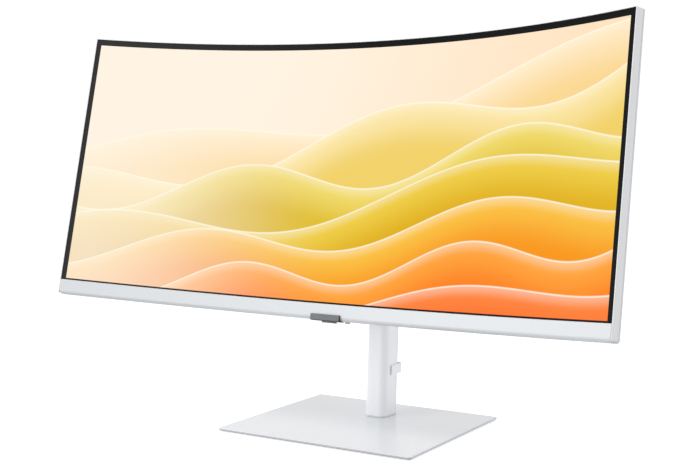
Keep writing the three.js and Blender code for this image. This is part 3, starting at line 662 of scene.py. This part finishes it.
def rear_cover():
    outer = domed_slab("back_shell", HALF_HEAD, HEAD_BOTTOM, HEAD_TOP, FRAME_BACK + GAP,
                       back_depth, 160, 80)
    hollow = domed_slab("hollow", HOLLOW_HALF, HOLLOW_LOW, HOLLOW_HIGH, FRAME_BACK - 2 * MM,
                        lambda u, v: back_depth(u, v) - SHELL + GAP, 120, 60)
    keep = [head_box("keep", -w - SHELL, w + SHELL, v0 - SHELL, v1 + SHELL, d - SHELL, BEHIND)
            for w, v0, v1, d in ROOMS]
    (jog_left, jog_right), _, (jog_front, jog_back) = head_extent("jog_ring")
    jog_u = (jog_left + jog_right) / 2
    jog_d = (jog_front + jog_back) / 2
    around_pod = POD_HALF + POD_WALL
    keep.append(head_box("keep", jog_u - around_pod, jog_u + around_pod,
                         -60 * MM, 8 * MM + POD_WALL, 19 * MM, 60 * MM))
    boolean(hollow, keep)
    pod = head_box("pod", jog_u - POD_HALF, jog_u + POD_HALF, -19.6 * MM, 8 * MM, 22 * MM, 41.6 * MM)
    boolean(outer, [pod], "UNION")
    boolean(outer, [head_box("room", -w, w, v0, v1, d, BEHIND) for w, v0, v1, d in ROOMS])
    boolean(outer, [hollow])
    holes = []
    for node in SOCKETS + ("release_button",):
        (x0, x1), (v0, v1), _ = head_extent(node)
        if node == "release_button":
            x0, x1 = x0 + KEY_OVER_X, x1 - KEY_OVER_X
            v0, v1 = v0 + KEY_OVER_V, v1 - KEY_OVER_V
        holes.append(head_box("hole", x0 - GAP, x1 + GAP, v0 - GAP, v1 + GAP, 22 * MM, 60 * MM))
    for row in range(VENT_ROWS):
        for k in range(-VENTS_A_SIDE, VENTS_A_SIDE + 1):
            x = k * VENT_STEP
            v = VENT_LOW + row * VENT_ROW_STEP
            holes.append(head_box("vent", x - VENT_HALF, x + VENT_HALF, v, v + VENT_TALL, 12 * MM, 60 * MM))
    boolean(outer, [join("holes", holes)])
    well = loft("well", [[in_head(jog_u + x, v, jog_d + d) for x, d in circle(WELL_R)]
                         for v in (-40 * MM, -11 * MM)])
    boolean(outer, [well])
    soften(outer, 0, angle=28)
    dress(outer, MATERIALS["white_casing"], "display", ["rear_cover"])


def badge():
    """A blank satin plate on a black pod that wraps under the chin, with a dark lens below."""
    (x0, x1), (v0, v1), (d0, d1) = head_extent("badge_plate")
    plate = head_box("badge_face", x0, x1, v0, v1, d0, d1)
    soften(plate, 0.25 * MM, 3)
    dress(plate, MATERIALS["badge_satin"], "display", ["badge_plate"])

    (x0, x1), (low, high), (front, back) = head_extent("badge_housing")
    rim = HEAD_BOTTOM - GAP
    outline = [(front, low), (front, high), (CHIN_FRONT - GAP, high)]
    outline += [point for point in chin_bevel(GAP) if point[1] < high and point[0] < back - MM]
    outline += [(back, rim - 0.1 * MM), (back, rim - 0.8 * MM), (5.5 * MM, low)]
    pod = loft("badge_pod", [[in_head(x, v, d) for d, v in outline] for x in (x0, x1)])
    soften(pod, 0.2 * MM, 2, 40)
    dress(pod, MATERIALS["black_plastic"], "display", ["badge_housing"])

    lens = head_box("sensor_lens", *[pair for axis in head_extent("status_lens") for pair in axis])
    soften(lens, 0.2 * MM, 3)
    dress(lens, MATERIALS["black_lens"], "display", ["status_lens"])


def head_disc(name, node, rounding):
    """A turned piece on an axis up the head, as wide and as tall as its CAD node."""
    (x0, x1), (v0, v1), (d0, d1) = head_extent(node)
    ring = [((x0 + x1) / 2 + x, (d0 + d1) / 2 + d) for x, d in circle((x1 - x0) / 2)]
    obj = loft(name, [[in_head(x, v, d) for x, d in ring] for v in (v0, v1)])
    return soften(obj, rounding, 4, 40)


def controls():
    cap = head_disc("jog_button", "jog_cap", 0.8 * MM)
    dress(cap, MATERIALS["jog_grey"], "jog_tip", ["jog_cap"])
    stem = head_disc("jog_shaft", "jog_stem", 0.3 * MM)
    dress(stem, MATERIALS["black_plastic"], "jog_stick", ["jog_stem"])
    (x0, x1), (v0, v1), (d0, d1) = head_extent("release_button")
    key = head_box("release_key", x0 + KEY_OVER_X, x1 - KEY_OVER_X, v0 + KEY_OVER_V, v1 - KEY_OVER_V,
                   35 * MM, d1)
    flange = head_box("flange", x0, x1, v0, v1, d0, 36.5 * MM)
    dish_deep = 0.4 * MM
    dish = head_box("dish", -6 * MM, 6 * MM, v0 + 3.6 * MM, v1 - 3.6 * MM, d1 - dish_deep, d1 + 5 * MM)
    soften(key, 0.8 * MM, 4)
    apply_modifiers(key)
    boolean(key, [flange], "UNION")
    boolean(key, [dish])
    soften(key, 0.15 * MM, 2, 50)
    dress(key, MATERIALS["release_plastic"], "release", ["release_button"])


# ---------- stand ----------
def column_outline(inset=0.0):
    return rounded_rect(COLUMN_W - 2 * inset, COLUMN_D - 2 * inset, COLUMN_R - inset, 16)


def column_part(name, y0, y1, low, high, steps=12):
    """The part of the column's hollow section between two depths."""
    levels = [low + (high - low) * i / steps for i in range(steps + 1)]
    past_ends = (low - PAST, high + PAST)
    obj = loft(name, [[leaning(x, y, z) for x, y in column_outline()] for z in levels])
    core = loft("core", [[leaning(x, y, z) for x, y in column_outline(COLUMN_WALL)] for z in past_ends])
    others = [block("rest", leaning, (-COLUMN_W, COLUMN_W), limits, past_ends)
              for limits in ((-60 * MM, y0), (y1, 60 * MM))]
    return boolean(obj, [core] + others)


def hub_hole(low):
    """A cutting shape for the hole that the swivel's hub stands in."""
    return loft("hole", [[upright(x, y, z) for x, y in circle(HUB_HOLE_R)] for z in (low, 20 * MM)])


def column():
    """The front shell with its slot, the back cover with its cable channel, the cap and the foot."""
    low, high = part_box("column_shell")[0].z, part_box("column_shell")[1].z
    face = COLUMN_D / 2
    front = column_part("column_skin", -50 * MM, COLUMN_SEAM, low, high)
    slot = block("slot", leaning, (-SLOT_HALF, SLOT_HALF), (-40 * MM, -face + COLUMN_WALL + 2 * MM),
                 (SLOT_LOW, 500 * MM))
    boolean(front, [slot])
    soften(front, 0.3 * MM, 2, 40)
    dress(front, MATERIALS["white_stand"], "column", ["column_shell"])

    rear = column_part("column_rear", COLUMN_SEAM + GAP, 50 * MM, low, high)
    half, floor = CHANNEL_HALF, face - CHANNEL_DEEP
    lining = block("lining", leaning, (-half - 2 * MM, half + 2 * MM), (floor - 2 * MM, face - MM),
                   (CHANNEL_LOW - 2 * MM, CHANNEL_HIGH + 2 * MM))
    boolean(rear, [lining], "UNION")
    channel = block("channel", leaning, (-half, half), (floor, 60 * MM), (CHANNEL_LOW, CHANNEL_HIGH))
    boolean(rear, [channel])
    soften(rear, 0.3 * MM, 2, 40)
    dress(rear, MATERIALS["white_stand"], "column", ["column_back"])

    for name, node, rounding in (("column_lid", "column_cap", 1.4), ("column_collar", "column_foot", 0.25)):
        bottom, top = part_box(node)[0].z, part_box(node)[1].z
        place = leaning if node == "column_cap" else upright
        lid = loft(name, [[place(x, y, z) for x, y in column_outline()] for z in (bottom, top)])
        if node == "column_foot":
            boolean(lid, [hub_hole(0)])
        soften(lid, rounding * MM, 4, 40)
        dress(lid, MATERIALS["white_stand"], "column", [node])


def cable_clip():
    """A springy band with rolled lips, around the column's sides and back."""
    low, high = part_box("cable_clip")
    wall, back, front, corner = 1.7 * MM, 23.6 * MM, -5.5 * MM, 4 * MM
    inner = COLUMN_W / 2 + GAP
    outer = inner + wall

    steps = 8

    def turn(half, depth, side):
        """A quarter turn round the band's back corner, from its side to its back."""
        bend = corner if half > inner + wall / 2 else corner - wall
        return [(side * (half - bend + bend * math.cos(a)), depth - bend + bend * math.sin(a))
                for a in [math.pi / 2 * i / steps for i in range(steps + 1)]]

    lip = [(inner + wall / 2 * (1 + math.cos(a)), front + wall * (1 - math.sin(a)))
           for a in [math.pi * i / steps for i in range(steps + 1)]]
    outline = lip + turn(inner, back - wall, 1) + turn(inner, back - wall, -1)[::-1]
    outline += [(-x, y) for x, y in lip[::-1]]
    outline += turn(outer, back, -1) + turn(outer, back, 1)[::-1]
    middle = (low.z + high.z) / 2
    half = (high.z - low.z) / 2
    obj = loft("clip_band", [[leaning(x, y, middle + z) for x, y in outline] for z in (-half, half)])
    soften(obj, 0.35 * MM, 3, 40)
    dress(obj, MATERIALS["white_stand"], "column", ["cable_clip"])


def base_plate():
    """A flat plate with a rounded upper edge and an undercut lower edge, on four rubber feet."""
    low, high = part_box("base_plate")
    middle = (low + high) / 2
    width, depth = high.x - low.x, high.y - low.y
    undercut = ((1.7, 0), (0.25, 1.45), (0.0, 1.75))
    profile = [(inset * MM, low.z + height * MM) for inset, height in undercut]
    round_r = 1.1 * MM
    steps = 8
    for i in range(1, steps + 1):
        a = math.pi / 2 * i / steps
        profile.append((round_r * (1 - math.cos(a)), high.z - round_r * (1 - math.sin(a))))
    rings = []
    for inset, z in profile:
        outline = rounded_rect(width - 2 * inset, depth - 2 * inset, BASE_CORNER - inset, 12)
        rings.append([(middle.x + x, middle.y + y, z) for x, y in outline])
    obj = loft("base_slab", rings)
    boolean(obj, [hub_hole(-PAST)])
    soften(obj, 0, angle=35)
    dress(obj, MATERIALS["white_steel"], "base", ["base_plate"])
    for number in range(1, 5):
        node = f"rubber_foot_{number}"
        foot_low, foot_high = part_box(node)
        centre = (foot_low + foot_high) / 2
        radius = (foot_high.x - foot_low.x) / 2
        pad = loft(f"desk_pad_{number}", [[(centre.x + x, centre.y + y, z) for x, y in circle(radius)]
                                          for z in (foot_low.z, foot_high.z)])
        soften(pad, 0.4 * MM, 3, 40)
        dress(pad, MATERIALS["rubber_pad"], "base", [node])


def neck_cover():
    """A hollow rounded sleeve, open towards the head, with a way in for the arm at the back."""
    low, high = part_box("neck_cover")
    middle = (low + high) / 2
    size = high - low

    def placed(x, z, y):
        return Vector((middle.x + x, y, middle.z + z))

    wall, corner, end_wall = 2.5 * MM, 12 * MM, 3 * MM
    outline = rounded_rect(size.x, size.z, corner, 12)
    inner = rounded_rect(size.x - 2 * wall, size.z - 2 * wall, corner - wall, 12)
    obj = loft("neck_sleeve", [[placed(x, z, y) for x, z in outline] for y in (low.y, high.y)])
    room = loft("room", [[placed(x, z, y) for x, z in inner] for y in (low.y - PAST, high.y - end_wall)])
    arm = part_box("neck_arm")
    way = block("way", lambda x, y, z: Vector((x, y, z)), (-ARM_HALF, ARM_HALF),
                (high.y - PAST, high.y + PAST), (arm[0].z - MM, arm[1].z + MM))
    boolean(obj, [room, way])
    soften(obj, 1.0 * MM, 4, 40)
    dress(obj, MATERIALS["white_stand"], "carriage", ["neck_cover"])


# ---------- carried-over CAD nodes ----------
def finish_nodes():
    slots = {entry["node"]: entry["material_slot"] for entry in frame["record"]["subparts"]}
    for name, obj in frame["nodes"].items():
        material = MATERIALS.get(slots[name])
        if material is None:
            continue
        if not obj.material_slots:
            obj.data.materials.append(material)
        for slot in obj.material_slots:
            slot.material = material


# ---------- stage ----------
# Brightness of the white room: all round, around the camera, overhead and underfoot
ROOM = 1.04
ROOM_BY_CAMERA = 0.5
ZENITH = 0.6
NADIR = 0.35
# The direction of the camera's side of the room, and where the room's brightness changes along each direction
VIEWER_X = 0.55
VIEWER_Y = -0.83
VIEWER_BAND = (0.98, 0.35)
ZENITH_BAND = (0.15, 0.5)
NADIR_BAND = (-0.9, -0.1)
FLOOR_HALF = 30
FLOOR_GLOW = 0.5

# The lights: name, place, target, size in metres, and watts
LIGHTS = (
    ("key", (-1.25, -1.3, 0.7), (0, 0, 0.15), (0.7, 0.9), 8),
    ("front", (-1.5, -2.4, 0.4), (0, 0, 0.3), (1.2, 0.8), 11.5),
    ("side", (2.2, 0.1, 0.6), (0, 0, 0.3), (0.8, 1.2), 7),
    ("top", (-0.1, -0.7, 1.6), (0, -0.15, 0), (0.8, 0.6), 5),
)

# The camera, fitted to the photograph by least squares
CAMERA_PLACE = (0.81385, -1.38921 + COLUMN_Y, 0.37282)
CAMERA_DOWN = 1.222
CAMERA_TURN = 31.099
CAMERA_LENS = 61.17
CAMERA_SHIFT = (-0.0223, -0.0921)


def stage():
    corners = [(-1, -1), (1, -1), (1, 1), (-1, 1)]
    floor = new_object("floor", [(x * FLOOR_HALF, y * FLOOR_HALF, 0) for x, y in corners], [(0, 1, 2, 3)])
    material, tree, shader = new_material("floor_paper")
    tone = noise(tree, 3, 2)
    plug(tree, shader.inputs["Base Color"], mix(tree, tone, srgb(250, 250, 250), srgb(253, 253, 253)))
    shader.inputs["Roughness"].default_value = 0.9
    shader.inputs["Specular IOR Level"].default_value = 0.0
    shader.inputs["Emission Color"].default_value = (1, 1, 1, 1)
    shader.inputs["Emission Strength"].default_value = FLOOR_GLOW
    floor.data.materials.append(material)
    floor.visible_diffuse = False

    world = bpy.data.worlds.new("studio")
    bpy.context.scene.world = world
    world.use_nodes = True
    tree = world.node_tree
    coords = tree.nodes.new("ShaderNodeTexCoord")
    split = tree.nodes.new("ShaderNodeSeparateXYZ")
    tree.links.new(coords.outputs["Generated"], split.inputs[0])
    x, y, z = (Num(tree, split.outputs[axis]) for axis in "XYZ")
    viewer = x * VIEWER_X + y * VIEWER_Y
    room = viewer.ramp(*VIEWER_BAND) * (ROOM - ROOM_BY_CAMERA) + ROOM_BY_CAMERA
    zenith = z.ramp(*ZENITH_BAND) * (ZENITH - 1.0) + 1.0
    nadir = z.ramp(*NADIR_BAND) * (1.0 - NADIR) + NADIR
    background = tree.nodes["Background"]
    background.inputs["Color"].default_value = (1, 1, 1, 1)
    seen = Num(tree, tree.nodes.new("ShaderNodeLightPath").outputs["Is Camera Ray"])
    unseen = seen * -1.0 + 1.0
    plug(tree, background.inputs["Strength"], seen * ROOM + unseen * room * zenith * nadir)


def area_light(name, place, target, size, power):
    light = bpy.data.lights.new(name, "AREA")
    light.shape = "RECTANGLE"
    light.size, light.size_y = size
    light.energy = power
    obj = bpy.data.objects.new(name, light)
    obj.location = place
    obj.rotation_euler = (Vector(target) - Vector(place)).to_track_quat("-Z", "Y").to_euler()
    bpy.context.scene.collection.objects.link(obj)


def camera():
    data = bpy.data.cameras.new("camera")
    data.sensor_width = 36
    data.lens = CAMERA_LENS
    data.shift_x, data.shift_y = CAMERA_SHIFT
    data.clip_end = 100
    obj = bpy.data.objects.new("camera", data)
    obj.location = CAMERA_PLACE
    obj.rotation_euler = (math.radians(90 - CAMERA_DOWN), 0, math.radians(CAMERA_TURN))
    bpy.context.scene.collection.objects.link(obj)
    bpy.context.scene.camera = obj


camera()
stage()
for light_settings in LIGHTS:
    area_light(*light_settings)
bpy.context.scene.view_settings.view_transform = "Standard"

screen()
middle_frame()
chin()
rear_cover()
badge()
controls()
column()
cable_clip()
base_plate()
neck_cover()
finish_nodes()
